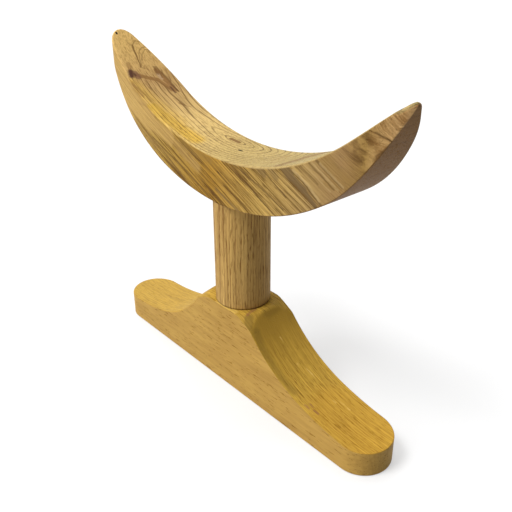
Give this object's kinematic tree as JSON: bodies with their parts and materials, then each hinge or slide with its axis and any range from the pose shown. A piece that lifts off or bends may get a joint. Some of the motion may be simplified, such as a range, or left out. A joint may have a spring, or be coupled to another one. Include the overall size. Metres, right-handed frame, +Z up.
{
  "type": "wooden headrest",
  "caption": "Wooden headrest: a crescent saddle for the neck on a round post, standing on a long foot with two swept shoulders.",
  "frame": {"origin": "centre of the foot's underside, on the axis of the post", "axes": "+X along the foot and the saddle, toward the end of the foot that is near in the picture; +Y across them, to the far side in the picture; +Z up"},
  "size_m": [0.2532, 0.0364, 0.2166],
  "materials": {
    "foot_wood": "oiled satin",
    "post_wood": "oiled satin",
    "saddle_wood": "oiled satin"
  },
  "bodies": {
    "root": {"foot": "foot_wood", "post": "post_wood", "saddle": "saddle_wood"}
  },
  "joints": []
}
